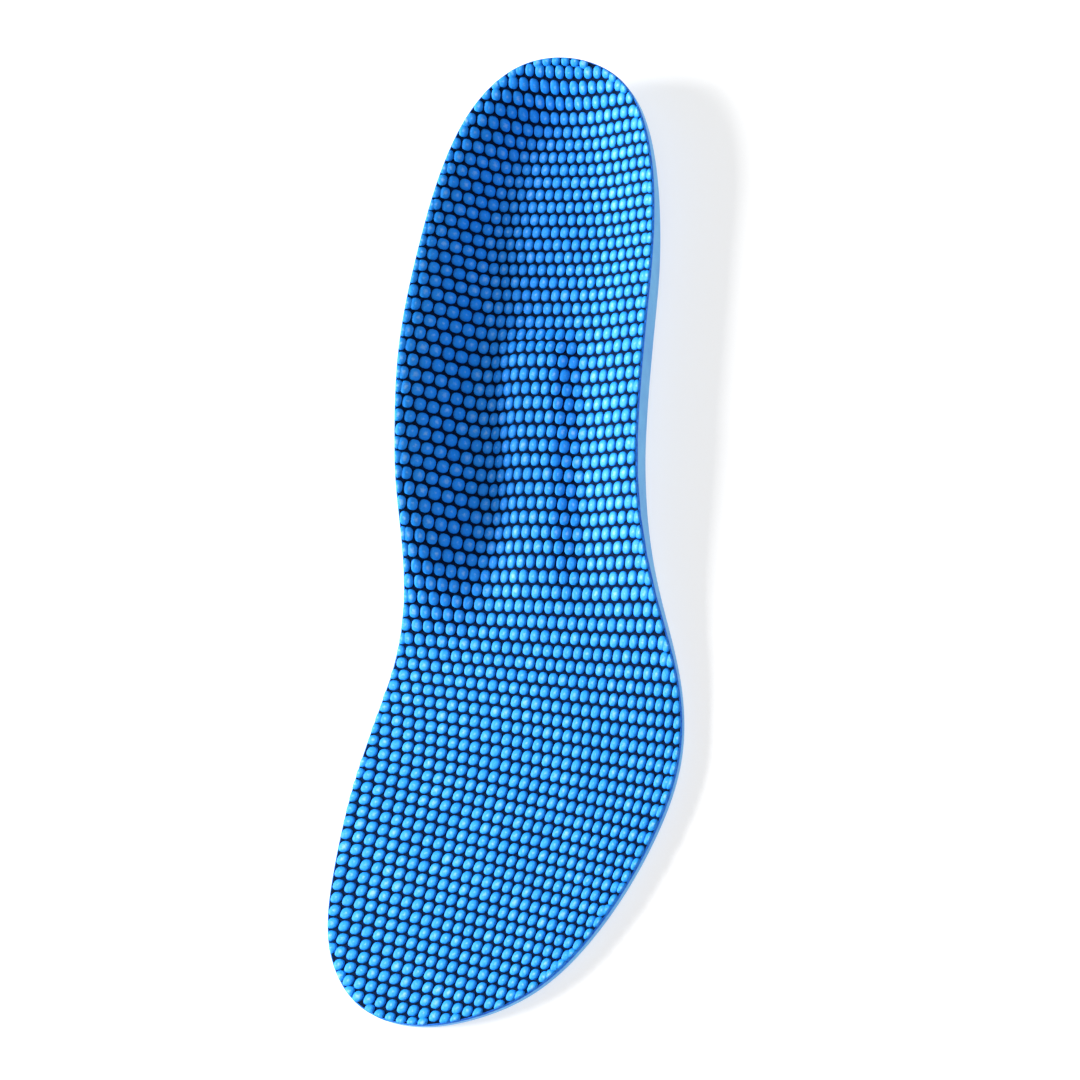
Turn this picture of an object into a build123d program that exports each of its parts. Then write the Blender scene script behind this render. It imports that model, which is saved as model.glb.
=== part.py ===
from build123d import *
import math
import os

os.makedirs("parts", exist_ok=True)

# Cushioned insole for the left foot.  Millimetres, +Z up.
# The toes point along -Y, the outer (lateral) side of the foot is +X and the
# inner (medial) side is -X.  The origin is at the bottom centre of the box.

# ---------------------------------------------------------------- driving sizes
PAD_STAND_OFF = 0.6         # the gel pads stand this far below the foam
POCKET_DEPTH = 2.0          # pockets for the pads, up into the foam
GLUE = 0.2                  # adhesive films
COVER = 1.5                 # mesh fabric cover, measured upwards
FOREFOOT_TOP = 6.0          # top of the cover under the toes
HEEL_TOP = 8.0              # top of the cover in the heel seat
MEDIAL_RIM = 29.0           # rim over the arch
HEEL_MEDIAL_RIM = 23.0
LATERAL_RIM = 18.0
HEEL_LATERAL_RIM = 21.0
DOME_HEIGHT = 4.2           # tongue-shaped support dome in the middle
DOME_CROWN = 3.5            # half width of its level crown
DOME_FOOT = 15.5            # half width at its foot
SIDE_WALL = 4.2             # extra height of the upright lateral wall by the arch
EMBOSS = 0.35               # raised marks on the underside
EMBOSS_TOP = 2.0            # the marks' roots end inside the foam

POCKET_TOP = PAD_STAND_OFF + POCKET_DEPTH
PAD_TOP = POCKET_TOP - GLUE

# plan outline, round the foot from the toe tip by the lateral side
OUTLINE = [
    (-14.5, -147.5), (3, -143), (20.8, -132), (36, -112), (47.6, -84),
    (51.7, -58), (47.6, -36), (37.4, -12), (28.9, 12), (23, 44),
    (20, 74), (16.6, 104), (10.5, 127), (-1, 143), (-15.5, 147.5),
    (-31, 143.5), (-43, 130.5), (-49.6, 110), (-51.5, 82), (-50.2, 46),
    (-44.2, 12), (-39.3, -18), (-41.3, -46), (-46.3, -80), (-47.2, -106),
    (-43.3, -130), (-31.5, -144),
]

# kidney-shaped pad under the ball of the foot
FOREFOOT_PAD = [
    (-3, -87.5), (-24.5, -83), (-33.7, -68), (-28, -52.6), (-17.6, -47),
    (0.9, -42.6), (11.5, -36.8), (18.7, -26.4), (24, -22.5), (32.4, -28.3),
    (40, -48.4), (38.3, -67.8), (28, -80.5), (13.4, -86),
]

# the arch shank and the heel pad share one slightly turned axis
SHANK_PLACE = Location((-4.4, 45.5), 4.5)
SHANK_FRONT = -25.5
SHANK_BACK = 38.5
SHANK_FRONT_HALF = 10.4
SHANK_WAIST_HALF = 6.5
SHANK_BACK_HALF = 12.4
SHANK_FACE = 0.7            # height of its outer face
SLOT_START = -17.6
SLOT_PITCH = 8.65
SLOT_LENGTHS = [13.0, 10.6, 10.0, 10.6, 12.4, 16.4]
SLOT_WIDTH = 4.4
SLOT_DEPTH = 0.9
HEEL_PAD_CENTRE = 60.8
HEEL_PAD_LENGTH = 49.5
HEEL_PAD_WIDTH = 34.3
PAD_GAP = 0.3
KEYHOLE_GAP = 1.6
PAD_EDGE = 0.9              # rounding of the pads' outer edges

# trim lines for smaller shoes: size, numeral centre, medial end, lateral end
TRIM_LINES = [
    ("12", (-11.0, -139.3), (-41.1, -121.1), (31.9, -113.8)),
    ("11", (-8.4, -130.3), (-41.0, -104.5), (41.8, -89.9)),
    ("10", (-6.2, -121.3), (-40.4, -92.3), (45.0, -72.5)),
    ("9", (-4.1, -112.3), (-39.6, -80.5), (46.4, -58.0)),
    ("8", (-2.0, -103.3), (-38.2, -72.0), (44.2, -58.0)),
]
TRIM_WIDTH = 0.7
NUMERAL_ROOM = 4.6
NUMERAL_HEIGHT = 4.2
NUMERAL_PITCH = 2.9
FOREFOOT_LEAN = 13.0
FOOT_MARK = (-22.3, 45.9)
FOOT_MARK_RADIUS = 6.3
FOOT_MARK_SCALE = 1.5


# ---------------------------------------------------------------- height fields
def ease(start, end, value):
    """Smooth step from 0 at start to 1 at end."""
    t = min(max((value - start) / (end - start), 0.0), 1.0)
    return t * t * (3 - 2 * t)


def soft_ramp(value, radius):
    """max(value, 0) with a rounded corner."""
    return radius * math.log1p(math.exp(value / radius)) if value < 30 * radius else value


with BuildLine() as outline_line:
    Spline(*OUTLINE, periodic=True)
outline_wire = outline_line.wire()
EDGE_POINTS = [(p.X, p.Y) for p in (outline_wire @ (i / 360) for i in range(360))]


def depth_inside(x, y):
    """Distance from the outline, positive inside it."""
    best = 1e9
    side = 1.0
    for (ax, ay), (bx, by) in zip(EDGE_POINTS, EDGE_POINTS[1:] + EDGE_POINTS[:1]):
        ex, ey = bx - ax, by - ay
        t = ((x - ax) * ex + (y - ay) * ey) / (ex * ex + ey * ey)
        t = min(max(t, 0.0), 1.0)
        dx, dy = x - ax - t * ex, y - ay - t * ey
        gap = math.hypot(dx, dy)
        if gap < best:
            best = gap
            side = math.copysign(1.0, ex * dy - ey * dx)
    return best * side


def edges_at(y):
    """Medial and lateral edges of the outline at one station along the foot."""
    crossings = []
    for (ax, ay), (bx, by) in zip(EDGE_POINTS, EDGE_POINTS[1:] + EDGE_POINTS[:1]):
        if (ay - y) * (by - y) <= 0 and ay != by:
            crossings.append(ax + (bx - ax) * (y - ay) / (by - ay))
    return min(crossings), max(crossings)


def medial_share(x, y):
    return 1 - ease(-22, 22, x - sum(edges_at(y)) / 2)


def rim_medial(y):
    rise = (MEDIAL_RIM - FOREFOOT_TOP) * ease(-46, 16, y)
    return FOREFOOT_TOP + rise - (MEDIAL_RIM - HEEL_MEDIAL_RIM) * ease(45, 125, y)


def rim_lateral(y):
    rise = (LATERAL_RIM - FOREFOOT_TOP) * ease(-50, 34, y)
    return FOREFOOT_TOP + rise + (HEEL_LATERAL_RIM - LATERAL_RIM) * ease(85, 140, y)


def floor_top(y):
    return FOREFOOT_TOP + (HEEL_TOP - FOREFOOT_TOP) * ease(-25, 60, y)


def wall(depth, crest, foot, radius):
    """A slope that is 1 up to crest inside the rim and 0 past foot."""
    fall = soft_ramp(foot - depth, radius) - soft_ramp(crest - depth, radius)
    return fall / (foot - crest)


def dome(x, y):
    """The raised tongue: round at the heel end, fading towards the toes."""
    along = (68.0 - y) + 0.185 * (x + 15.5)
    across = (x + 15.5) - 0.185 * (68.0 - y)
    bell = 1 - ease(DOME_CROWN, DOME_FOOT, abs(across))
    return DOME_HEIGHT * bell * ease(0, 12, along) * (1 - ease(58, 100, along))


def top_height(x, y):
    """Upper face of the cover."""
    depth = depth_inside(x, y)
    share = medial_share(x, y)
    base = floor_top(y)
    back = ease(60, 100, y)
    medial = (rim_medial(y) - base) * wall(depth, 3.0, 21.0 - 5.0 * back, 1.8)
    lateral = (rim_lateral(y) - base) * wall(depth, 1.0, 18.0 - 3.0 * back, 4.0)
    return base + share * medial + (1 - share) * lateral + dome(x, y)


def bottom_height(x, y):
    """Underside of the foam: flat, with walls that curve up to the rim."""
    depth = depth_inside(x, y)
    share = medial_share(x, y)
    rim = share * rim_medial(y) + (1 - share) * rim_lateral(y)
    edge = FOREFOOT_TOP - PAD_STAND_OFF + 4.0 * ease(-48, -10, y)
    edge += SIDE_WALL * (1 - share) * ease(-20, 25, y) * (1 - ease(80, 125, y))
    reach = 12.0 + 8.0 * share - 3.0 * share * ease(60, 110, y)
    lift = max(rim - PAD_STAND_OFF - edge, 0.0)
    return PAD_STAND_OFF + lift * max(1 - depth / reach, 0.0) ** 2


def stations():
    """Places along the foot: even in the middle, closer at the round ends."""
    half = 147.2
    steps = 40
    return [half * math.sin(math.pi / 2 * (2 * i / steps - 1)) for i in range(steps + 1)]


def section_points(y, height, shift):
    """One line across the foot, from the medial to the lateral edge."""
    x_medial, x_lateral = edges_at(y)
    count = 18
    span = x_lateral - x_medial
    across = [x_medial + span * (1 - math.cos(math.pi * i / count)) / 2 for i in range(count + 1)]
    return [(x, height(x, y) + shift) for x in across]


def layer(upper, upper_shift, lower, lower_shift):
    """The insole's body between two height fields, lofted from toe to heel."""
    with BuildPart() as slab:
        for y in stations():
            low = section_points(y, lower, lower_shift)
            high = section_points(y, upper, upper_shift)
            with BuildSketch(Plane.XZ.offset(-y)):
                with BuildLine():
                    Spline(*low)
                    Line(low[-1], high[-1])
                    Spline(*reversed(high))
                    Line(high[0], low[0])
                make_face()
        loft(ruled=True)
    return slab.part


# ---------------------------------------------------------------- pad outlines
with BuildSketch() as forefoot_shape:
    with BuildLine():
        Spline(*FOREFOOT_PAD, periodic=True)
    make_face()


def heel_outline(grow):
    """The oval heel pad, larger all round by grow."""
    with BuildSketch(mode=Mode.PRIVATE) as oval:
        with Locations((0, HEEL_PAD_CENTRE)):
            Ellipse(HEEL_PAD_WIDTH / 2 + grow, HEEL_PAD_LENGTH / 2 + grow)
    return oval.sketch


def strap_outline(grow):
    """The shank's flared strap, larger all round by grow."""
    front_half = SHANK_FRONT_HALF + grow
    waist_half = SHANK_WAIST_HALF + grow
    back_half = SHANK_BACK_HALF + grow
    with BuildSketch(mode=Mode.PRIVATE) as strap:
        with BuildLine():
            front = Line((-front_half, SHANK_FRONT - grow), (front_half, SHANK_FRONT - grow))
            right = Spline(
                front @ 1, (waist_half, 0), (back_half, SHANK_BACK),
                tangents=[(-0.35, 1), (0.45, 1)],
            )
            left = Spline(
                front @ 0, (-waist_half, 0), (-back_half, SHANK_BACK),
                tangents=[(0.35, 1), (-0.45, 1)],
            )
            Line(left @ 1, right @ 1)
        make_face()
        fillet(strap.vertices().group_by(Axis.Y)[0], 1.0 + grow)
    return strap.sketch


with BuildSketch() as heel_shape:
    add(heel_outline(0))

# the strap's concave rear edge cradles the heel pad
with BuildSketch() as shank_shape:
    add(strap_outline(0))
    add(heel_outline(PAD_GAP), mode=Mode.SUBTRACT)

with BuildSketch() as keyhole_shape:
    add(strap_outline(KEYHOLE_GAP))
    add(heel_outline(KEYHOLE_GAP))


# ---------------------------------------------------------------- foam base
# Raised marks are drawn as seen from below: x to the right, y towards the toes.
under_plane = Plane(origin=(0, 0, 0), x_dir=(1, 0, 0), z_dir=(0, 0, -1))


def trim_line(numeral, medial_end, lateral_end):
    """One broken toe line, in plan."""
    x, y = numeral
    with BuildSketch(mode=Mode.PRIVATE) as ridge:
        with BuildLine():
            Spline((x - NUMERAL_ROOM, y), medial_end, tangents=[(-1, 0.08), (-0.15, 1)])
        trace(line_width=TRIM_WIDTH)
        with BuildLine():
            Spline((x + NUMERAL_ROOM, y), lateral_end, tangents=[(1, 0.12), (0.45, 1)])
        trace(line_width=TRIM_WIDTH)
    return ridge.sketch


def stroke(points):
    with BuildSketch(mode=Mode.PRIVATE) as line:
        with BuildLine():
            Polyline(*points)
        trace(line_width=TRIM_WIDTH)
    return line.sketch


def ring(y, x_radius, y_radius):
    with BuildSketch(mode=Mode.PRIVATE) as loop:
        with Locations((0, y)):
            Ellipse(x_radius + TRIM_WIDTH / 2, y_radius + TRIM_WIDTH / 2)
            Ellipse(x_radius - TRIM_WIDTH / 2, y_radius - TRIM_WIDTH / 2, mode=Mode.SUBTRACT)
    return loop.sketch


def glyph(character):
    """A plain stroked figure, NUMERAL_HEIGHT tall and centred."""
    top = NUMERAL_HEIGHT / 2
    half = NUMERAL_HEIGHT * 0.25
    shapes = {
        "0": lambda: [ring(0, half, top)],
        "1": lambda: [stroke([(-half * 0.7, top * 0.6), (0, top), (0, -top)])],
        "2": lambda: [stroke([
            (-half, top * 0.5), (-half * 0.5, top), (half * 0.5, top), (half, top * 0.5),
            (-half, -top), (half, -top),
        ])],
        "8": lambda: [ring(top - half, half, half), ring(half - top, half * 1.1, half * 1.1)],
        "9": lambda: [ring(top - half, half, half), stroke([(half, top - half), (0, -top)])],
        "L": lambda: [stroke([(-half, top), (-half, -top), (half, -top)])],
    }
    with BuildSketch(mode=Mode.PRIVATE) as figure:
        add(shapes[character]())
    return figure.sketch


with BuildSketch() as trim_shape:
    for size, numeral, medial_end, lateral_end in TRIM_LINES:
        add(trim_line(numeral, medial_end, lateral_end))

with BuildSketch(under_plane) as mark_shape:
    for size, (x, y), medial_end, lateral_end in TRIM_LINES:
        for index, character in enumerate(size):
            shift = (index - (len(size) - 1) / 2) * NUMERAL_PITCH
            with Locations(Location((x, -y), FOREFOOT_LEAN) * Location((shift, 0))):
                add(glyph(character))
    with Locations((FOOT_MARK[0], -FOOT_MARK[1])):
        Circle(FOOT_MARK_RADIUS)
        Circle(FOOT_MARK_RADIUS - TRIM_WIDTH, mode=Mode.SUBTRACT)
    with Locations((FOOT_MARK[0], -FOOT_MARK[1])):
        add(glyph("L").scale(FOOT_MARK_SCALE))

with BuildPart() as emboss:
    extrude(trim_shape.sketch, amount=EMBOSS_TOP)
    extrude(mark_shape.sketch, amount=EMBOSS_TOP, dir=(0, 0, 1))
emboss_place = Location((0, 0, PAD_STAND_OFF - EMBOSS))

with BuildPart() as foam_base:
    add(layer(top_height, -COVER - GLUE, bottom_height, 0))
    add(emboss.part.moved(emboss_place))
    extrude(forefoot_shape.sketch, amount=POCKET_TOP, mode=Mode.SUBTRACT)
    extrude(keyhole_shape.sketch.moved(SHANK_PLACE), amount=POCKET_TOP, mode=Mode.SUBTRACT)
foam_base.part.label = "foam_base"
export_step(foam_base.part, "parts/foam_base.step")


# ---------------------------------------------------------------- gel pads
def gel_pad(outline):
    """A pad with its rounded outer face on the ground plane."""
    with BuildPart() as pad:
        extrude(outline, amount=PAD_TOP)
        fillet(pad.faces().sort_by(Axis.Z)[0].edges(), PAD_EDGE)
    return pad.part


def glue_film(outline):
    """The adhesive between a pad and the top of its pocket."""
    with BuildPart() as film:
        with BuildSketch(Plane.XY.offset(PAD_TOP)):
            add(outline)
        extrude(amount=GLUE)
    return film.part


with BuildPart() as forefoot_pad:
    add(gel_pad(forefoot_shape.sketch))
forefoot_pad.part.label = "forefoot_pad"
export_step(forefoot_pad.part, "parts/forefoot_pad.step")

with BuildPart() as heel_pad:
    add(gel_pad(heel_shape.sketch.moved(SHANK_PLACE)))
heel_pad.part.label = "heel_pad"
export_step(heel_pad.part, "parts/heel_pad.step")


# ---------------------------------------------------------------- arch shank
with BuildPart() as shank_blank:
    with BuildSketch(Plane.XY.offset(SHANK_FACE)):
        add(shank_shape.sketch)
    extrude(amount=PAD_TOP - SHANK_FACE)
    with BuildSketch(Plane.XY.offset(SHANK_FACE)):
        for index, length in enumerate(SLOT_LENGTHS):
            with Locations((0, SLOT_START + SLOT_PITCH * index)):
                RectangleRounded(length, SLOT_WIDTH, SLOT_WIDTH * 0.3)
    extrude(amount=SLOT_DEPTH, mode=Mode.SUBTRACT)

with BuildPart() as arch_shank:
    add(shank_blank.part.moved(SHANK_PLACE))
arch_shank.part.label = "arch_shank"
export_step(arch_shank.part, "parts/arch_shank.step")


# ---------------------------------------------------------------- adhesive films
with BuildPart() as forefoot_pad_adhesive:
    add(glue_film(forefoot_shape.sketch))
forefoot_pad_adhesive.part.label = "forefoot_pad_adhesive"
export_step(forefoot_pad_adhesive.part, "parts/forefoot_pad_adhesive.step")

with BuildPart() as heel_pad_adhesive:
    add(glue_film(heel_shape.sketch.moved(SHANK_PLACE)))
heel_pad_adhesive.part.label = "heel_pad_adhesive"
export_step(heel_pad_adhesive.part, "parts/heel_pad_adhesive.step")

with BuildPart() as arch_shank_adhesive:
    add(glue_film(shank_shape.sketch.moved(SHANK_PLACE)))
arch_shank_adhesive.part.label = "arch_shank_adhesive"
export_step(arch_shank_adhesive.part, "parts/arch_shank_adhesive.step")


# ---------------------------------------------------------------- fabric cover
with BuildPart() as cover_adhesive:
    add(layer(top_height, -COVER, top_height, -COVER - GLUE))
cover_adhesive.part.label = "cover_adhesive"
export_step(cover_adhesive.part, "parts/cover_adhesive.step")

with BuildPart() as top_cover:
    add(layer(top_height, 0, top_height, -COVER))
top_cover.part.label = "top_cover"
export_step(top_cover.part, "parts/top_cover.step")
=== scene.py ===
import bpy
import bmesh
import math
import numpy as np
from mathutils import Matrix, Vector


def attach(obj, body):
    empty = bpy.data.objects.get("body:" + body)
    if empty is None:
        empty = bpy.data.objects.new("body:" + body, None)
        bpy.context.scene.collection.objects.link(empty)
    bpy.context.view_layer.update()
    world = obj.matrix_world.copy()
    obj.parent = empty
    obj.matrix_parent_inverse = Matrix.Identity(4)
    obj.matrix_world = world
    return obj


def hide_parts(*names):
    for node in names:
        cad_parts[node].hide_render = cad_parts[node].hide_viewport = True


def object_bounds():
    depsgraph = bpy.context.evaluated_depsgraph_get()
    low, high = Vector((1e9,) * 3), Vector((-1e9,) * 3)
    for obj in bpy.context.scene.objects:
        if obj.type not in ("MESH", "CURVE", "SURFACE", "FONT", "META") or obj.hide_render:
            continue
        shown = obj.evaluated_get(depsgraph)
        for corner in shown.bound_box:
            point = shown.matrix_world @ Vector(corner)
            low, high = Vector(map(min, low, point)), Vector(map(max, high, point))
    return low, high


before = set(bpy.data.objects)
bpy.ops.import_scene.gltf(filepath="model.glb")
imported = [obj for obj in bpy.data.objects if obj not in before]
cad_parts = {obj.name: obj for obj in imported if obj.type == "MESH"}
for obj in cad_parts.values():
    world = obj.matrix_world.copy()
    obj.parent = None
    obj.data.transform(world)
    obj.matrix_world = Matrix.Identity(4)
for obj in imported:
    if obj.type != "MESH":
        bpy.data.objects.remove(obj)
CAD_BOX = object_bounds()
rng = np.random.default_rng(7)

# Cushioned insole for the left foot.  Shapes are worked out in millimetres, in
# the frame's axes, and become metres when a mesh is made.
MM = 0.001

# ---------------------------------------------------------------- driving sizes
PAD_STAND_OFF = 0.6
GLUE = 0.2
COVER = 1.5
CELL_HEIGHT = 0.62          # the fabric's raised cells stand on its knit ground
FOREFOOT_TOP = 6.0
HEEL_TOP = 8.0
MEDIAL_RIM = 29.0
HEEL_MEDIAL_RIM = 23.0
LATERAL_RIM = 18.0
HEEL_LATERAL_RIM = 21.0
DOME_HEIGHT = 4.2
DOME_CROWN = 3.5
DOME_FOOT = 15.5
SIDE_WALL = 4.2
POCKET_TOP = 2.6
PAD_TOP = POCKET_TOP - GLUE
RIM_ROUNDING = 0.5
SOLE_ROUNDING = 1.4

OUTLINE = [
    (-14.5, -147.5), (3, -143), (20.8, -132), (36, -112), (47.6, -84),
    (51.7, -58), (47.6, -36), (37.4, -12), (28.9, 12), (23, 44),
    (20, 74), (16.6, 104), (10.5, 127), (-1, 143), (-15.5, 147.5),
    (-31, 143.5), (-43, 130.5), (-49.6, 110), (-51.5, 82), (-50.2, 46),
    (-44.2, 12), (-39.3, -18), (-41.3, -46), (-46.3, -80), (-47.2, -106),
    (-43.3, -130), (-31.5, -144),
]
FOREFOOT_PAD = [
    (-3, -87.5), (-24.5, -83), (-33.7, -68), (-28, -52.6), (-17.6, -47),
    (0.9, -42.6), (11.5, -36.8), (18.7, -26.4), (24, -22.5), (32.4, -28.3),
    (40, -48.4), (38.3, -67.8), (28, -80.5), (13.4, -86),
]
SHANK_CENTRE = (-4.4, 45.5)
SHANK_TURN = math.radians(4.5)
SHANK_FRONT = -25.5
SHANK_BACK = 38.5
SHANK_FRONT_HALF = 10.4
SHANK_WAIST_HALF = 6.5
SHANK_BACK_HALF = 12.4
HEEL_PAD_CENTRE = 60.8
HEEL_PAD_HALF_LENGTH = 24.75
HEEL_PAD_HALF_WIDTH = 17.15
KEYHOLE_GAP = 1.6
TRIM_LINES = [
    ("12", (-11.0, -139.3), (-41.1, -121.1), (31.9, -113.8)),
    ("11", (-8.4, -130.3), (-41.0, -104.5), (41.8, -89.9)),
    ("10", (-6.2, -121.3), (-40.4, -92.3), (45.0, -72.5)),
    ("9", (-4.1, -112.3), (-39.6, -80.5), (46.4, -58.0)),
    ("8", (-2.0, -103.3), (-38.2, -72.0), (44.2, -58.0)),
]
MARK_HALF_WIDTH = 0.36
MARK_HEIGHT = 0.34
NUMERAL_ROOM = 4.6
NUMERAL_HEIGHT = 4.2
NUMERAL_PITCH = 2.9
FOREFOOT_LEAN = math.radians(13.0)
FOOT_MARK = (-22.3, 45.9)
FOOT_MARK_RADIUS = 5.95
FOOT_MARK_SCALE = 1.5


# ---------------------------------------------------------------- curves
def closed_spline(points, count):
    """A smooth closed curve through the points, parametrised by chord length."""
    knots = np.array(points, float)
    n = len(knots)
    step = np.linalg.norm(np.roll(knots, -1, 0) - knots, axis=1)
    before = np.roll(step, 1)
    system = np.zeros((n, n))
    rows = np.arange(n)
    system[rows, rows] = 2 * (before + step)
    system[rows, (rows - 1) % n] = step
    system[rows, (rows + 1) % n] = before
    chord = (np.roll(knots, -1, 0) - knots) / step[:, None]
    known = 3 * (step[:, None] * np.roll(chord, 1, 0) + before[:, None] * chord)
    slope = np.linalg.solve(system, known)
    start = np.concatenate([[0.0], np.cumsum(step)])
    place = np.linspace(0, start[-1], count, endpoint=False)
    span = np.clip(np.searchsorted(start, place, side="right") - 1, 0, n - 1)
    t = ((place - start[span]) / step[span])[:, None]
    reach = step[span][:, None]
    after = (span + 1) % n
    return (
        (2 * t**3 - 3 * t**2 + 1) * knots[span]
        + (t**3 - 2 * t**2 + t) * reach * slope[span]
        + (3 * t**2 - 2 * t**3) * knots[after]
        + (t**3 - t**2) * reach * slope[after]
    )


def hermite(start, end, start_tangent, end_tangent, count):
    """An open curve between two points with given directions at its ends."""
    a, b = np.array(start, float), np.array(end, float)
    reach = np.linalg.norm(b - a)
    m = reach * np.array(start_tangent) / np.linalg.norm(start_tangent)
    k = reach * np.array(end_tangent) / np.linalg.norm(end_tangent)
    t = np.linspace(0, 1, count)[:, None]
    return (
        (2 * t**3 - 3 * t**2 + 1) * a + (t**3 - 2 * t**2 + t) * m
        + (3 * t**2 - 2 * t**3) * b + (t**3 - t**2) * k
    )


EDGE = closed_spline(OUTLINE, 420)
FINE_EDGE = closed_spline(OUTLINE, 6000)
FOREFOOT_EDGE = closed_spline(FOREFOOT_PAD, 160)
TOE = FINE_EDGE[FINE_EDGE[:, 1].argmin()]
HEEL = FINE_EDGE[FINE_EDGE[:, 1].argmax()]
HALF_LENGTH = (HEEL[1] - TOE[1]) / 2
MIDDLE = (HEEL[1] + TOE[1]) / 2


def split_edge():
    """The outline's medial and lateral sides as x against y."""
    toe, heel = FINE_EDGE[:, 1].argmin(), FINE_EDGE[:, 1].argmax()
    first = np.roll(FINE_EDGE, -toe, 0)
    turn = (heel - toe) % len(first)
    lateral = first[: turn + 1]
    medial = np.concatenate([first[turn:], first[:1]])[::-1]
    return medial, lateral


MEDIAL_SIDE, LATERAL_SIDE = split_edge()


def edges_at(y):
    medial = np.interp(y, MEDIAL_SIDE[:, 1], MEDIAL_SIDE[:, 0])
    lateral = np.interp(y, LATERAL_SIDE[:, 1], LATERAL_SIDE[:, 0])
    return medial, lateral


# ---------------------------------------------------------------- height fields
def ease(start, end, value):
    t = np.clip((value - start) / (end - start), 0, 1)
    return t * t * (3 - 2 * t)


def soft_ramp(value, radius):
    return radius * np.logaddexp(0, value / radius)


BATCH = 4000                # points measured at a time


def depth_inside(x, y):
    """Distance from the outline, positive inside it."""
    x, y = np.broadcast_arrays(np.asarray(x, float), np.asarray(y, float))
    shape = x.shape
    points = np.stack([x.ravel(), y.ravel()], 1)
    along = np.roll(EDGE, -1, 0) - EDGE
    length = (along**2).sum(1)
    found = np.empty(len(points))
    for at in range(0, len(points), BATCH):
        part = points[at:at + BATCH]
        rel = part[:, None, :] - EDGE[None]
        t = np.clip((rel * along).sum(2) / length, 0, 1)
        off = rel - t[..., None] * along
        gap = np.hypot(off[..., 0], off[..., 1])
        best = gap.argmin(1)
        pick = np.arange(len(part))
        cross = along[best, 0] * off[pick, best, 1] - along[best, 1] * off[pick, best, 0]
        found[at:at + BATCH] = gap[pick, best] * np.where(cross >= 0, 1, -1)
    return found.reshape(shape)


def medial_share(x, y):
    medial, lateral = edges_at(y)
    return 1 - ease(-22, 22, x - (medial + lateral) / 2)


def rim_medial(y):
    rise = (MEDIAL_RIM - FOREFOOT_TOP) * ease(-46, 16, y)
    return FOREFOOT_TOP + rise - (MEDIAL_RIM - HEEL_MEDIAL_RIM) * ease(45, 125, y)


def rim_lateral(y):
    rise = (LATERAL_RIM - FOREFOOT_TOP) * ease(-50, 34, y)
    return FOREFOOT_TOP + rise + (HEEL_LATERAL_RIM - LATERAL_RIM) * ease(85, 140, y)


def floor_top(y):
    return FOREFOOT_TOP + (HEEL_TOP - FOREFOOT_TOP) * ease(-25, 60, y)


def wall(depth, crest, foot, radius):
    fall = soft_ramp(foot - depth, radius) - soft_ramp(crest - depth, radius)
    return fall / (foot - crest)


def dome(x, y):
    """The raised tongue: round at the heel end, fading towards the toes."""
    along = (68.0 - y) + 0.185 * (x + 15.5)
    across = (x + 15.5) - 0.185 * (68.0 - y)
    bell = 1 - ease(DOME_CROWN, DOME_FOOT, np.abs(across))
    return DOME_HEIGHT * bell * ease(0, 12, along) * (1 - ease(58, 100, along))


def top_height(x, y):
    """Upper face of the cover."""
    depth = depth_inside(x, y)
    share = medial_share(x, y)
    base = floor_top(y)
    back = ease(60, 100, y)
    medial = (rim_medial(y) - base) * wall(depth, 3.0, 21.0 - 5.0 * back, 1.8)
    lateral = (rim_lateral(y) - base) * wall(depth, 1.0, 18.0 - 3.0 * back, 4.0)
    return base + share * medial + (1 - share) * lateral + dome(x, y)


def bottom_height(x, y):
    """Underside of the foam: flat, with walls that curve up to the rim."""
    depth = depth_inside(x, y)
    share = medial_share(x, y)
    rim = share * rim_medial(y) + (1 - share) * rim_lateral(y)
    edge = FOREFOOT_TOP - PAD_STAND_OFF + 4.0 * ease(-48, -10, y)
    edge += SIDE_WALL * (1 - share) * ease(-20, 25, y) * (1 - ease(80, 125, y))
    reach = 12.0 + 8.0 * share - 3.0 * share * ease(60, 110, y)
    lift = np.maximum(rim - PAD_STAND_OFF - edge, 0.0)
    return PAD_STAND_OFF + lift * np.maximum(1 - depth / reach, 0.0) ** 2


def rounding(depth, radius):
    """How far a rounded edge falls away near the outline."""
    inward = np.clip(depth, 0, radius)
    return radius - np.sqrt(radius**2 - (radius - inward) ** 2)


# ---------------------------------------------------------------- meshes
def make_piece(name, points, faces, material, smooth_angle=40.0):
    """An object from points in millimetres."""
    mesh = bpy.data.meshes.new(name)
    mesh.from_pydata((np.asarray(points, float) * MM).tolist(), [], faces)
    shell = bmesh.new()
    shell.from_mesh(mesh)
    bmesh.ops.remove_doubles(shell, verts=shell.verts, dist=1e-6)
    bmesh.ops.recalc_face_normals(shell, faces=shell.faces)
    shell.to_mesh(mesh)
    shell.free()
    obj = bpy.data.objects.new(name, mesh)
    bpy.context.scene.collection.objects.link(obj)
    mesh.materials.append(material)
    soften(obj, smooth_angle)
    return obj


def soften(obj, angle):
    obj.data.shade_smooth()
    obj.data.set_sharp_from_angle(angle=math.radians(angle))


STATIONS = 260              # rows of the body's mesh along the foot
EDGE_STEPS = (0.0, 0.12, 0.35, 0.7, 1.1, 1.6, 2.4, 3.4)     # in from the outline
SPINE_STEPS = 20            # from there to the spine
SPINE_SHARE = 0.8           # the spine ends this far towards the toe and heel tips


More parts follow.
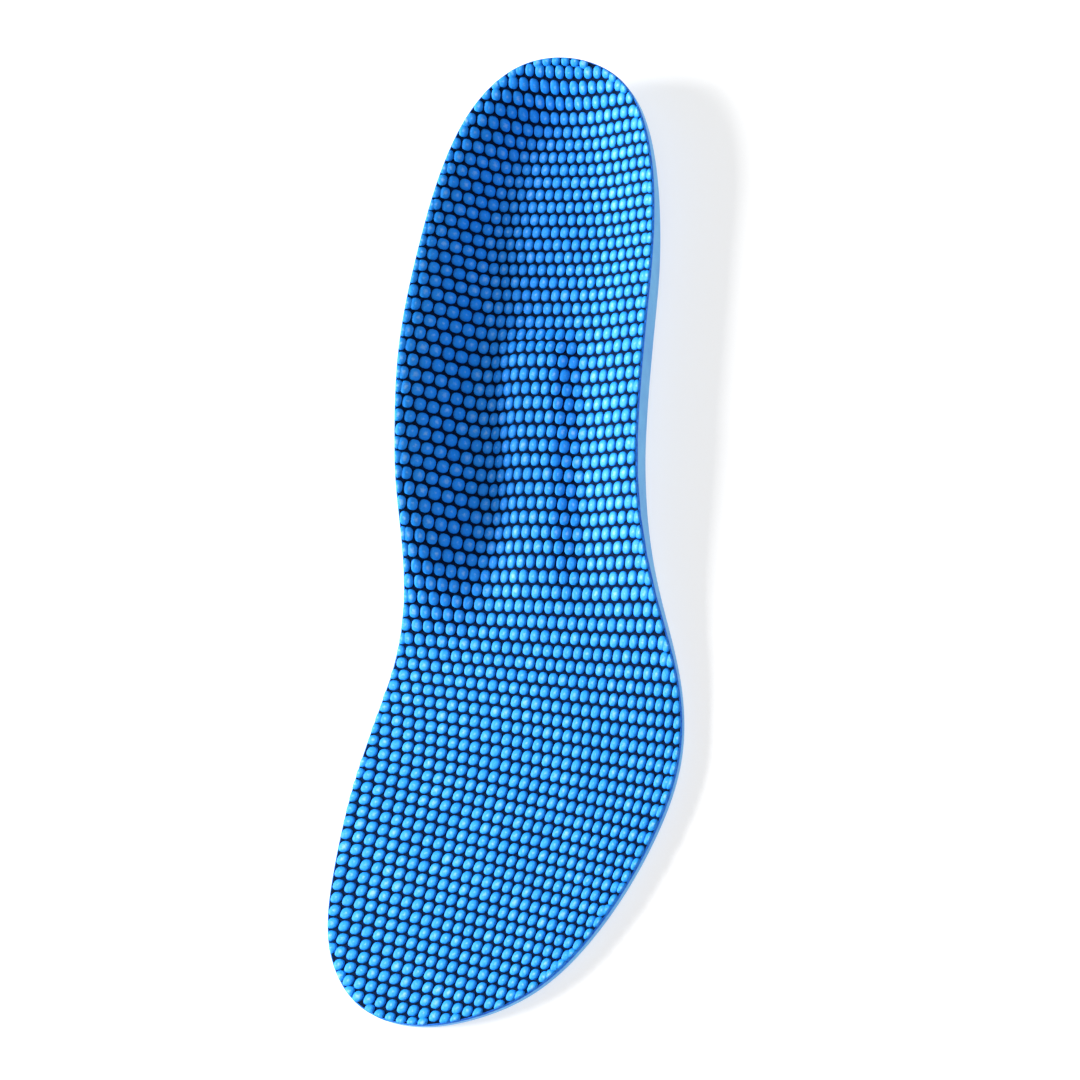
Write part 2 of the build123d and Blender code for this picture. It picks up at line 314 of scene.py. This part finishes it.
def plan_grid():
    """Plan positions: one row per station, from the medial edge to the lateral one."""
    turn = np.linspace(-np.pi / 2, np.pi / 2, STATIONS)
    y = MIDDLE + HALF_LENGTH * np.sin(turn)
    medial, lateral = edges_at(y)
    left, right = np.stack([medial, y], 1), np.stack([lateral, y], 1)
    left[0] = right[0] = TOE
    left[-1] = right[-1] = HEEL
    spine_y = MIDDLE + (y - MIDDLE) * SPINE_SHARE
    spine = np.stack([sum(edges_at(spine_y)) / 2, spine_y], 1)

    def inward(side, sign):
        line = np.gradient(side, axis=0)
        line[0], line[-1] = (sign, 0), (-sign, 0)
        normal = np.stack([line[:, 1], -line[:, 0]], 1) * -sign
        return normal / np.linalg.norm(normal, axis=1)[:, None]

    rows = []
    for side, sign in ((left, -1), (right, 1)):
        normal = inward(side, sign)
        rings = [side + normal * step for step in EDGE_STEPS]
        inner = rings[-1]
        for i in range(1, SPINE_STEPS):
            rings.append(inner + (spine - inner) * i / SPINE_STEPS)
        rows.append(np.stack(rings, 1))
    return np.concatenate([rows[0], spine[:, None], rows[1][:, ::-1]], 1)


PLAN = plan_grid()


def slab_mesh(upper, lower):
    """Points and faces of the body between two surfaces over PLAN."""
    n, m = PLAN.shape[:2]
    top = np.dstack([PLAN, upper]).reshape(-1, 3)
    low = np.dstack([PLAN, lower]).reshape(-1, 3)
    faces = []
    for i in range(n - 1):
        for j in range(m - 1):
            a = i * m + j
            faces.append((a, a + 1, a + m + 1, a + m))
            faces.append(tuple(v + n * m for v in (a + m, a + m + 1, a + 1, a)))
    for i in range(n - 1):
        for j in (0, m - 1):
            a = i * m + j
            faces.append((a, a + m, a + m + n * m, a + n * m))
    return np.concatenate([top, low]), faces


def prism(outline, low, high):
    """Points and faces of a straight block over a closed outline."""
    n = len(outline)
    ring = np.asarray(outline, float)
    points = np.concatenate([np.c_[ring, np.full(n, low)], np.c_[ring, np.full(n, high)]])
    faces = [tuple(range(n)), tuple(range(2 * n - 1, n - 1, -1))]
    faces += [(i, i + n, (i + 1) % n + n, (i + 1) % n) for i in range(n)]
    return points, faces


def placed(points):
    """Points of the shank's axes turned into the insole's axes."""
    turned = np.asarray(points, float) @ np.array(
        [[math.cos(SHANK_TURN), math.sin(SHANK_TURN)],
         [-math.sin(SHANK_TURN), math.cos(SHANK_TURN)]]
    )
    return turned + np.array(SHANK_CENTRE)


def oval(half_width, half_length, centre_y, count=96):
    turn = np.linspace(0, 2 * np.pi, count, endpoint=False)
    return np.c_[half_width * np.cos(turn), centre_y + half_length * np.sin(turn)]


def grown(outline, grow):
    """A closed anticlockwise outline moved outwards."""
    along = np.roll(outline, -1, 0) - np.roll(outline, 1, 0)
    normal = np.c_[along[:, 1], -along[:, 0]]
    return outline + grow * normal / np.linalg.norm(normal, axis=1)[:, None]


# ---------------------------------------------------------------- materials
def new_material(name):
    material = bpy.data.materials.new(name)
    material.use_nodes = True
    tree = material.node_tree
    shader = tree.nodes["Principled BSDF"]
    return material, tree, shader


def linear(red, green, blue):
    """A display colour, 0 to 255, as the shader's linear colour."""
    share = [v / 255 for v in (red, green, blue)]
    curve = [v / 12.92 if v <= 0.04045 else ((v + 0.055) / 1.055) ** 2.4 for v in share]
    return (*curve, 1.0)


def noise(tree, scale, detail=4.0, roughness=0.6, coordinates=None):
    node = tree.nodes.new("ShaderNodeTexNoise")
    node.inputs["Scale"].default_value = scale
    node.inputs["Detail"].default_value = detail
    node.inputs["Roughness"].default_value = roughness
    place = coordinates or tree.nodes.new("ShaderNodeTexCoord").outputs["Object"]
    tree.links.new(place, node.inputs["Vector"])
    return node.outputs["Fac"]


def ramp(tree, factor, stops):
    node = tree.nodes.new("ShaderNodeValToRGB")
    elements = node.color_ramp.elements
    while len(elements) < len(stops):
        elements.new(0.5)
    for element, (place, colour) in zip(elements, stops):
        element.position = place
        element.color = colour
    tree.links.new(factor, node.inputs["Fac"])
    return node.outputs["Color"]


def bump(tree, shader, height, strength, distance):
    node = tree.nodes.new("ShaderNodeBump")
    node.inputs["Strength"].default_value = strength
    node.inputs["Distance"].default_value = distance
    tree.links.new(height, node.inputs["Height"])
    tree.links.new(node.outputs["Normal"], shader.inputs["Normal"])


def arithmetic(tree, operation, first, second):
    node = tree.nodes.new("ShaderNodeMath")
    node.operation = operation
    for socket, value in zip(node.inputs, (first, second)):
        if hasattr(value, "links"):
            tree.links.new(value, socket)
        else:
            socket.default_value = value
    return node.outputs[0]


def attribute(tree, name):
    node = tree.nodes.new("ShaderNodeAttribute")
    node.attribute_name = name
    return node.outputs["Fac"]


def foam_material():
    """Closed-cell foam: matt, faintly mottled, with fine pores."""
    material, tree, shader = new_material("closed_cell_foam")
    mottle = noise(tree, 90.0)
    colour = ramp(tree, mottle, [
        (0.3, linear(94, 178, 246)), (0.7, linear(116, 200, 255)),
    ])
    tree.links.new(colour, shader.inputs["Base Color"])
    shader.inputs["Roughness"].default_value = 0.62
    shader.inputs["Specular IOR Level"].default_value = 0.35
    shader.inputs["Sheen Weight"].default_value = 0.1
    pores = noise(tree, 1800.0, 2.0, 0.5)
    bump(tree, shader, pores, 0.25, 0.0002)
    return material


def knit_material():
    """The fabric's dark open ground between the raised cells."""
    material, tree, shader = new_material("dark_knit_ground")
    threads = noise(tree, 1500.0, 3.0, 0.7)
    colour = ramp(tree, threads, [
        (0.35, linear(0, 8, 20)), (0.8, linear(4, 40, 84)),
    ])
    tree.links.new(colour, shader.inputs["Base Color"])
    shader.inputs["Roughness"].default_value = 0.9
    shader.inputs["Specular IOR Level"].default_value = 0.1
    bump(tree, shader, threads, 0.5, 0.0002)
    return material


def cut_edge_material():
    """The cover's cut edge, where the blue spacer yarns show."""
    material, tree, shader = new_material("cover_cut_edge")
    yarns = noise(tree, 900.0, 3.0, 0.6)
    colour = ramp(tree, yarns, [
        (0.35, linear(0, 92, 214)), (0.7, linear(20, 142, 255)),
    ])
    tree.links.new(colour, shader.inputs["Base Color"])
    shader.inputs["Roughness"].default_value = 0.8
    bump(tree, shader, yarns, 0.5, 0.0002)
    return material


def cell_material():
    """Raised cells of brushed blue yarn, with a painted highlight: each cell is painted
    paler towards its crown, as if light caught its top.
    """
    material, tree, shader = new_material("blue_mesh_cells")
    crown_highlight = attribute(tree, "crown_highlight")
    tone = attribute(tree, "tone")
    fibres = noise(tree, 1400.0, 3.0, 0.7)
    level = arithmetic(tree, "MULTIPLY", fibres, 0.55)
    # the crown weight lifts each cell's middle into the paler stops: a painted highlight on
    # the cell's top
    level = arithmetic(tree, "ADD", level, arithmetic(tree, "MULTIPLY", crown_highlight, 0.52))
    level = arithmetic(tree, "ADD", level, arithmetic(tree, "MULTIPLY", tone, 0.22))
    # the palest stop is the painted highlight colour, reached only near the crowns
    colour = ramp(tree, level, [
        (0.2, linear(0, 98, 190)), (0.46, linear(0, 142, 240)),
        (0.72, linear(30, 154, 250)), (0.95, linear(136, 194, 255)),
    ])
    tree.links.new(colour, shader.inputs["Base Color"])
    shader.inputs["Roughness"].default_value = 0.6
    shader.inputs["Specular IOR Level"].default_value = 0.4
    shader.inputs["Sheen Weight"].default_value = 0.05
    shader.inputs["Sheen Roughness"].default_value = 0.4
    shader.inputs["Sheen Tint"].default_value = linear(120, 190, 255)
    bump(tree, shader, fibres, 0.55, 0.0003)
    return material


def gel_material(name, shade, light, gloss):
    """Moulded gel rubber, softly mottled, slightly glossy."""
    material, tree, shader = new_material(name)
    mottle = noise(tree, 240.0, 5.0, 0.65)
    colour = ramp(tree, mottle, [(0.3, linear(*shade)), (0.7, linear(*light))])
    tree.links.new(colour, shader.inputs["Base Color"])
    shader.inputs["Roughness"].default_value = gloss
    shader.inputs["Subsurface Weight"].default_value = 0.12
    shader.inputs["Subsurface Radius"].default_value = (0.0008, 0.0012, 0.003)
    shader.inputs["Coat Weight"].default_value = 0.15
    grain = noise(tree, 2600.0, 2.0, 0.5)
    bump(tree, shader, grain, 0.12, 0.0001)
    return material


def film_material(name, shade, light):
    """A thin film of set adhesive."""
    material, tree, shader = new_material(name)
    cloud = noise(tree, 300.0)
    colour = ramp(tree, cloud, [(0.3, linear(*shade)), (0.7, linear(*light))])
    tree.links.new(colour, shader.inputs["Base Color"])
    shader.inputs["Roughness"].default_value = 0.4
    return material


# ---------------------------------------------------------------- foam base
foam_blue = foam_material()


def finished(obj, *nodes):
    """obj stands for these CAD nodes and rides with the insole."""
    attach(obj, "root")
    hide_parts(*nodes)
    return obj


def carve(obj, outline):
    """Cuts a pocket up into the underside."""
    points, faces = prism(outline, -5.0, POCKET_TOP)
    cutter = make_piece("cutter", points, faces, foam_blue)
    modifier = obj.modifiers.new("pocket", "BOOLEAN")
    modifier.operation = "DIFFERENCE"
    modifier.solver = "EXACT"
    modifier.object = cutter
    apply_modifiers(obj)
    bpy.data.objects.remove(cutter)


def apply_modifiers(obj):
    bpy.context.view_layer.update()
    graph = bpy.context.evaluated_depsgraph_get()
    mesh = bpy.data.meshes.new_from_object(obj.evaluated_get(graph))
    obj.modifiers.clear()
    old = obj.data
    obj.data = mesh
    bpy.data.meshes.remove(old)


KEYHOLE_SIDES = 160
STRAP_REACH = 8.0           # the strap's sides are followed this far past its rear edge


def strap_half(y, grow):
    """Half the shank's width at one station of its own axis."""
    front = ease(SHANK_FRONT, 0, y)
    back = ease(0, SHANK_BACK, y)
    flare = SHANK_FRONT_HALF + (SHANK_WAIST_HALF - SHANK_FRONT_HALF) * front
    return flare + (SHANK_BACK_HALF - SHANK_WAIST_HALF) * back + grow


def keyhole_outline():
    """The recess round the shank and the heel pad, as one closed outline."""
    wide, long = HEEL_PAD_HALF_WIDTH + KEYHOLE_GAP, HEEL_PAD_HALF_LENGTH + KEYHOLE_GAP
    y = np.linspace(SHANK_FRONT - KEYHOLE_GAP, SHANK_BACK + STRAP_REACH, 40)
    half = strap_half(y, KEYHOLE_GAP)
    outside = (half / wide) ** 2 + ((y - HEEL_PAD_CENTRE) / long) ** 2 >= 1
    y, half = y[outside], half[outside]
    ring = oval(wide, long, HEEL_PAD_CENTRE, KEYHOLE_SIDES)
    from_below = np.roll(ring, KEYHOLE_SIDES // 4, 0)
    beyond = from_below[from_below[:, 1] > y[-1]]
    right = np.c_[half, y]
    left = np.c_[-half, y][::-1]
    return placed(np.concatenate([right, beyond, left]))


flat_top = top_height(PLAN[..., 0], PLAN[..., 1])
rim_depth = np.maximum(depth_inside(PLAN[..., 0], PLAN[..., 1]), 0)
under = bottom_height(PLAN[..., 0], PLAN[..., 1])
fallen = rounding(rim_depth, RIM_ROUNDING)

points, faces = slab_mesh(
    flat_top - COVER - GLUE, under + rounding(rim_depth, SOLE_ROUNDING)
)
foam = make_piece("foam_base_soft", points, faces, foam_blue)
carve(foam, FOREFOOT_EDGE)
carve(foam, keyhole_outline())
soften(foam, 40.0)
finished(foam, "foam_base")


# ---------------------------------------------------------------- raised marks
def ridge(line, closed=False):
    """A half-round bead under the sole along a line of plan points."""
    line = np.asarray(line, float)
    n = len(line)
    if closed:
        along = np.roll(line, -1, 0) - np.roll(line, 1, 0)
    else:
        along = np.gradient(line, axis=0)
    along /= np.linalg.norm(along, axis=1)[:, None]
    side = np.c_[along[:, 1], -along[:, 0]]
    turn = np.linspace(0, 2 * np.pi, 8, endpoint=False)
    base = bottom_height(line[:, 0], line[:, 1])
    points = []
    for k in range(n):
        for a in turn:
            x, y = line[k] + side[k] * MARK_HALF_WIDTH * math.cos(a)
            points.append((x, y, base[k] + MARK_HEIGHT * math.sin(a)))
    faces = []
    for k in range(n if closed else n - 1):
        for i in range(8):
            a, b = k * 8 + i, k * 8 + (i + 1) % 8
            c, d = (k + 1) % n * 8 + (i + 1) % 8, (k + 1) % n * 8 + i
            faces.append((a, b, c, d))
    if not closed:
        faces += [tuple(range(7, -1, -1)), tuple((n - 1) * 8 + i for i in range(8))]
    return points, faces


def corner_line(points, steps=6):
    """A bent line with points along each leg."""
    legs = [
        np.linspace(a, b, steps, endpoint=False)
        for a, b in zip(np.array(points[:-1], float), np.array(points[1:], float))
    ]
    return np.concatenate(legs + [np.array([points[-1]], float)])


def glyph_lines(character):
    """The strokes of a plain figure, centred, as seen from below."""
    top = NUMERAL_HEIGHT / 2
    half = NUMERAL_HEIGHT * 0.25
    lines = {
        "0": [(oval(half, top, 0, 24), True)],
        "1": [(corner_line([(-half * 0.7, top * 0.6), (0, top), (0, -top)]), False)],
        "2": [(corner_line([
            (-half, top * 0.5), (-half * 0.5, top), (half * 0.5, top),
            (half, top * 0.5), (-half, -top), (half, -top)]), False)],
        "8": [(oval(half, half, top - half, 20), True),
              (oval(half * 1.1, half * 1.1, half - top, 20), True)],
        "9": [(oval(half, half, top - half, 20), True),
              (corner_line([(half, top - half), (0, -top)]), False)],
        "L": [(corner_line([(-half, top), (-half, -top), (half, -top)]), False)],
    }
    return lines[character]


mark_points, mark_faces = [], []


def add_mark(line, closed=False):
    points, faces = ridge(line, closed)
    first = len(mark_points)
    mark_points.extend(points)
    mark_faces.extend(tuple(v + first for v in face) for face in faces)


def seen_from_below(line, centre, lean, scale=1.0):
    """Turns a figure about its centre and mirrors it into the insole's plan."""
    x, y = (np.asarray(line, float) * scale).T
    turned_x = x * math.cos(lean) - y * math.sin(lean)
    turned_y = x * math.sin(lean) + y * math.cos(lean)
    return np.c_[centre[0] + turned_x, centre[1] - turned_y]


for size, (x, y), medial_end, lateral_end in TRIM_LINES:
    add_mark(hermite((x - NUMERAL_ROOM, y), medial_end, (-1, 0.08), (-0.15, 1), 40))
    add_mark(hermite((x + NUMERAL_ROOM, y), lateral_end, (1, 0.12), (0.45, 1), 40))
    for index, character in enumerate(size):
        shift = (index - (len(size) - 1) / 2) * NUMERAL_PITCH
        for line, closed in glyph_lines(character):
            moved = np.asarray(line) + np.array((shift, 0))
            add_mark(seen_from_below(moved, (x, y), FOREFOOT_LEAN), closed)
add_mark(oval(FOOT_MARK_RADIUS, FOOT_MARK_RADIUS, 0, 48) + np.array(FOOT_MARK), True)
for line, closed in glyph_lines("L"):
    add_mark(seen_from_below(line, FOOT_MARK, 0.0, FOOT_MARK_SCALE), closed)
marks = make_piece("sole_marks", mark_points, mark_faces, foam_blue, 60.0)
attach(marks, "root")


# ---------------------------------------------------------------- gel pads
PAD_CROWN = 0.05
PAD_LIP = [                 # inset from the outline, height
    (0.0, PAD_TOP), (0.0, 1.3), (0.12, 0.75), (0.4, 0.36), (0.9, 0.14),
]
PAD_FACE = [                # share of the way to the middle, height before the crown
    (0.0, 0.10), (0.12, 0.10), (0.3, 0.08), (0.6, 0.03), (0.85, 0.0),
]
PAD_FACE_INSET = 1.5


def crowned_pad(name, outline, material, node):
    """A pad with a rounded lip and a gently crowned outer face."""
    n = len(outline)
    rings = [np.c_[grown(outline, -inset), np.full(n, height)] for inset, height in PAD_LIP]
    face = grown(outline, -PAD_FACE_INSET)
    for share, height in PAD_FACE:
        ring = face + (outline.mean(0) - face) * share
        rings.append(np.c_[ring, np.full(n, height + PAD_CROWN * (1 - share) ** 2)])
    faces = [tuple(range(n))]
    for k in range(len(rings) - 1):
        for i in range(n):
            j = (i + 1) % n
            faces.append((k * n + i, k * n + j, (k + 1) * n + j, (k + 1) * n + i))
    last = (len(rings) - 1) * n
    faces.append(tuple(range(last + n - 1, last - 1, -1)))
    pad = make_piece(name, np.concatenate(rings), faces, material, 50.0)
    finished(pad, node)


forefoot_gel = gel_material("forefoot_gel", (46, 100, 222), (70, 124, 242), 0.42)
heel_gel = gel_material("heel_gel", (100, 138, 244), (120, 158, 252), 0.36)
shank_plastic = gel_material("shank_plastic", (74, 98, 250), (92, 116, 255), 0.3)
film = film_material("pad_adhesive", (176, 200, 218), (214, 228, 238))
cover_film = film_material("cover_adhesive_blue", (24, 122, 228), (60, 154, 246))

crowned_pad(
    "forefoot_pad_gel", FOREFOOT_EDGE, forefoot_gel, "forefoot_pad"
)
crowned_pad(
    "heel_pad_gel",
    placed(oval(HEEL_PAD_HALF_WIDTH, HEEL_PAD_HALF_LENGTH, HEEL_PAD_CENTRE, 120)),
    heel_gel, "heel_pad",
)

for name, material in (
    ("arch_shank", shank_plastic),
    ("forefoot_pad_adhesive", film),
    ("heel_pad_adhesive", film),
    ("arch_shank_adhesive", film),
    ("cover_adhesive", cover_film),
):
    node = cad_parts[name]
    node.data.materials.clear()
    node.data.materials.append(material)


# ---------------------------------------------------------------- fabric cover
ground_blue = knit_material()
points, faces = slab_mesh(flat_top - CELL_HEIGHT - fallen, flat_top - COVER)
cover = make_piece("cover_ground", points, faces, ground_blue)
cover.data.materials.append(cut_edge_material())
finished(cover, "top_cover")


CUT_EDGE_WIDTH = 0.4        # the trimmed rim, where the cover's side shows


def mark_cut_edge(obj):
    """Gives the faces along the outline the cut-edge material."""
    for face in obj.data.polygons:
        x, y = np.array(face.center[:2]) / MM
        if depth_inside(x, y) < CUT_EDGE_WIDTH:
            face.material_index = 1


mark_cut_edge(cover)


STREAK_GRID = 61
STREAKS = rng.uniform(0, 1, (STREAK_GRID, STREAK_GRID))   # short runs share a shade
TILT_CHANGE = (-95.0, 0.0)  # along the foot, where the rows' slant changes sign
TILT_X = -8.0               # the rows turn about this line
REFERENCE_X = -14.0         # columns are counted from a leaning line, here at mid-length
ROW_TILT = 0.10             # the rows' slant towards the toes, and as much the other way


def lattice():
    """Each cell's centre, pitch, row pitch, lean and shade; odd rows shift half a pitch."""
    guide_y = np.linspace(-190, 190, 1521)
    row_pitch = (
        3.85 + 0.55 * ease(-45, -15, guide_y) - 0.45 * ease(55, 90, guide_y)
    )
    row_index = np.concatenate([[0], np.cumsum(np.diff(guide_y) / row_pitch[1:])])
    lean = 0.03 + 0.42 * (1 - ease(-84, -30, guide_y))
    drift = np.concatenate([[0], np.cumsum(np.diff(guide_y) * lean[1:])])
    drift -= np.interp(0.0, guide_y, drift)
    grid_x = np.linspace(-75, 75, 601)
    cells = []
    for row in range(int(row_index[-1])):
        level = np.interp(row, row_index, guide_y)
        reference = np.interp(level, guide_y, drift) + REFERENCE_X
        tilt = -ROW_TILT + 2 * ROW_TILT * ease(*TILT_CHANGE, level)
        turning = ease(*TILT_CHANGE, level + 1) - ease(*TILT_CHANGE, level - 1)
        turning = turning * ROW_TILT
        front = 3.3 - 0.012 * (grid_x + 3.0)
        rear = 3.05 + 0.1 * ease(6, 22, grid_x)
        blend = ease(-50, -5, level)
        pitch = front + (rear - front) * blend - 0.12 * ease(70, 95, level)
        column = np.concatenate([[0], np.cumsum(np.diff(grid_x) / pitch[1:])])
        column -= np.interp(reference, grid_x, column)
        offset = 0.5 * (row % 2)
        for place in np.arange(math.ceil(column[0]), math.floor(column[-1])):
            x = np.interp(place + offset, column, grid_x)
            y = level + tilt * (x - TILT_X)
            stretch = 1 + turning * (x - TILT_X)
            cells.append((
                x, y, np.interp(x, grid_x, pitch),
                stretch * np.interp(level, guide_y, row_pitch),
                np.interp(level, guide_y, lean),
                STREAKS[(int(place) + row // 5) % STREAK_GRID, (row // 3) % STREAK_GRID],
            ))
    return np.array(cells)


CELL_SIDES = 14
RIM_ROOM = 0.75             # a cut cell's centre is at least this far inside the rim
CELL_RINGS = [              # share of the half size, height over the ground
    (1.0, -0.35), (0.99, 0.10), (0.90, 0.36), (0.72, 0.52), (0.40, 0.60),
]
CELL_SQUARENESS = 2.5       # 2 would be an ellipse
CELL_HALF = (0.462, 0.452)  # half sizes as shares of the pitch and the row pitch
CELL_SPREAD = (0.97, 1.03)  # how much the cells differ in size
CUT_MARGIN = 0.2            # cells are trimmed this far inside the outline
PAST_RIM = 1.1              # a centre this far outside still leaves part of a cell


def cell_cloud():
    """All the raised cells as one mesh, with a crown weight for each cell's painted
    highlight and a tone for the fabric's colour.
    """
    cells = lattice()
    depth = depth_inside(cells[:, 0], cells[:, 1])
    near = depth > -PAST_RIM
    cells, depth = cells[near], depth[near]
    x, y, pitch, row, lean, streak = cells.T.copy()
    step = 0.1
    inward_x = (depth_inside(x + step, y) - depth_inside(x - step, y)) / (2 * step)
    inward_y = (depth_inside(x, y + step) - depth_inside(x, y - step)) / (2 * step)
    draw_in = np.maximum(RIM_ROOM - depth, 0)
    x += inward_x * draw_in
    y += inward_y * draw_in
    depth = np.maximum(depth, RIM_ROOM)
    step = 0.2
    slope_x = (top_height(x + step, y) - top_height(x - step, y)) / (2 * step)
    slope_y = (top_height(x, y + step) - top_height(x, y - step)) / (2 * step)
    normal = np.stack([-slope_x, -slope_y, np.ones_like(x)], 1)
    normal /= np.linalg.norm(normal, axis=1)[:, None]
    half_x = CELL_HALF[0] * pitch * rng.uniform(*CELL_SPREAD, len(x))
    half_y = CELL_HALF[1] * row * rng.uniform(*CELL_SPREAD, len(x))
    tone = 0.55 * rng.uniform(0, 1, len(x)) + 0.45 * streak

    turn = np.linspace(0, 2 * np.pi, CELL_SIDES, endpoint=False)
    squared = 2 / CELL_SQUARENESS
    around_x = np.sign(np.cos(turn)) * np.abs(np.cos(turn)) ** squared
    around_y = np.sign(np.sin(turn)) * np.abs(np.sin(turn)) ** squared
    plan, lift, crown_highlight = [], [], []
    for share, height in CELL_RINGS:
        dy = half_y[:, None] * around_y * share
        dx = half_x[:, None] * around_x * share + 0.5 * lean[:, None] * dy
        plan.append(np.stack([x[:, None] + dx, y[:, None] + dy], 2))
        lift += [height] * CELL_SIDES
        # crown weight for the painted highlight: 0 at a cell's foot, rising to 1 at its
        # middle
        crown_highlight += [1 - share] * CELL_SIDES
    plan.append(np.stack([x, y], 1)[:, None])
    plan = np.concatenate(plan, 1)
    lift, crown_highlight = np.array(lift + [CELL_HEIGHT]), np.array(crown_highlight + [1.0])

    here = depth_inside(plan[..., 0], plan[..., 1])
    room = np.maximum(depth[:, None] - here, 1e-6)
    keep = np.clip((depth[:, None] - CUT_MARGIN) / room, 0, 1)
    keep = np.where(here < CUT_MARGIN, keep, 1.0)
    centre = np.stack([x, y], 1)[:, None]
    plan = centre + (plan - centre) * keep[..., None]
    here = np.maximum(depth_inside(plan[..., 0], plan[..., 1]), 0)
    height = top_height(plan[..., 0], plan[..., 1]) - CELL_HEIGHT
    height -= rounding(here, RIM_ROUNDING)
    points = np.dstack([plan, height]) + normal[:, None] * lift[None, :, None]

    count = plan.shape[1]
    faces = []
    for first in range(0, len(x) * count, count):
        for k in range(len(CELL_RINGS) - 1):
            for i in range(CELL_SIDES):
                a, b = k * CELL_SIDES + i, k * CELL_SIDES + (i + 1) % CELL_SIDES
                faces.append((
                    first + a, first + b, first + b + CELL_SIDES, first + a + CELL_SIDES
                ))
        last = first + (len(CELL_RINGS) - 1) * CELL_SIDES
        for i in range(CELL_SIDES):
            faces.append((last + i, last + (i + 1) % CELL_SIDES, first + count - 1))
        faces.append(tuple(first + i for i in range(CELL_SIDES - 1, -1, -1)))
    return points.reshape(-1, 3), faces, np.tile(crown_highlight, len(x)), np.repeat(tone, count)


def make_cells():
    points, faces, crown_highlight, tone = cell_cloud()
    mesh = bpy.data.meshes.new("cover_cells")
    mesh.from_pydata((points * MM).tolist(), [], faces)
    # crown carries each cell's painted highlight, tone its random colour
    for name, values in (("crown_highlight", crown_highlight), ("tone", tone)):
        layer = mesh.attributes.new(name, "FLOAT", "POINT")
        layer.data.foreach_set("value", values.astype(np.float32))
    obj = bpy.data.objects.new("cover_cells", mesh)
    bpy.context.scene.collection.objects.link(obj)
    mesh.materials.append(cell_material())
    mesh.shade_smooth()
    return obj


cover_cells = make_cells()
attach(cover_cells, "root")


# ---------------------------------------------------------------- floor and light
FLOOR_SIZE = 12.0
FLOOR_DROP = 0.0002                 # just under the insole, in metres


def studio():
    bpy.ops.mesh.primitive_plane_add(size=FLOOR_SIZE, location=(0, 0, -FLOOR_DROP))
    floor = bpy.context.object
    floor.name = "floor"
    material, tree, shader = new_material("white_floor")
    shader.inputs["Base Color"].default_value = (0.5, 0.5, 0.5, 1)
    shader.inputs["Emission Color"].default_value = (0.92, 0.86, 0.82, 1)
    shader.inputs["Emission Strength"].default_value = 0.7
    shader.inputs["Roughness"].default_value = 0.9
    shader.inputs["Specular IOR Level"].default_value = 0.0
    floor.data.materials.append(material)

    def lamp(name, place, size, power):
        light = bpy.data.lights.new(name, "AREA")
        light.size = size
        light.energy = power
        lamp_object = bpy.data.objects.new(name, light)
        lamp_object.location = place
        aim = Vector((0, 0, 0)) - Vector(place)
        lamp_object.rotation_euler = aim.to_track_quat("-Z", "Y").to_euler()
        bpy.context.scene.collection.objects.link(lamp_object)

    lamp("key", (-1.85, -0.3, 1.02), 0.9, 116.0)
    lamp("fill", (0.5, 0.3, 2.0), 1.6, 8.0)

    world = bpy.data.worlds.new("studio")
    bpy.context.scene.world = world
    world.use_nodes = True
    world.node_tree.nodes["Background"].inputs["Color"].default_value = (0.62, 0.86, 1, 1)
    world.node_tree.nodes["Background"].inputs["Strength"].default_value = 0.36
    bpy.context.scene.view_settings.view_transform = "Standard"


studio()

# ---------------------------------------------------------------- camera
TILT_RIGHT = math.radians(18.0)     # the camera stands off the vertical, towards +X
TILT_DOWN = math.radians(12.0)      # and towards the toes
ROLL = math.radians(7.0)
FIELD = 0.3204                      # width of the view at the insole
LENS = 200.0
SENSOR = 36.0

towards_camera = Vector((math.tan(TILT_RIGHT), -math.tan(TILT_DOWN), 1)).normalized()
level_right = (Vector((1, 0, 0)) - towards_camera * towards_camera.x).normalized()
level_up = towards_camera.cross(level_right)
right = level_right * math.cos(ROLL) + level_up * math.sin(ROLL)
up = level_up * math.cos(ROLL) - level_right * math.sin(ROLL)

camera_data = bpy.data.cameras.new("camera")
camera_data.lens = LENS
camera_data.sensor_width = SENSOR
camera = bpy.data.objects.new("camera", camera_data)
bpy.context.scene.collection.objects.link(camera)
aim = (CAD_BOX[0] + CAD_BOX[1]) / 2
place = aim + towards_camera * (FIELD * LENS / SENSOR)
axes = Matrix((right, up, towards_camera)).transposed().to_4x4()
camera.matrix_world = Matrix.Translation(place) @ axes
camera_data.clip_start = 0.01
camera_data.clip_end = 50.0
bpy.context.scene.camera = camera
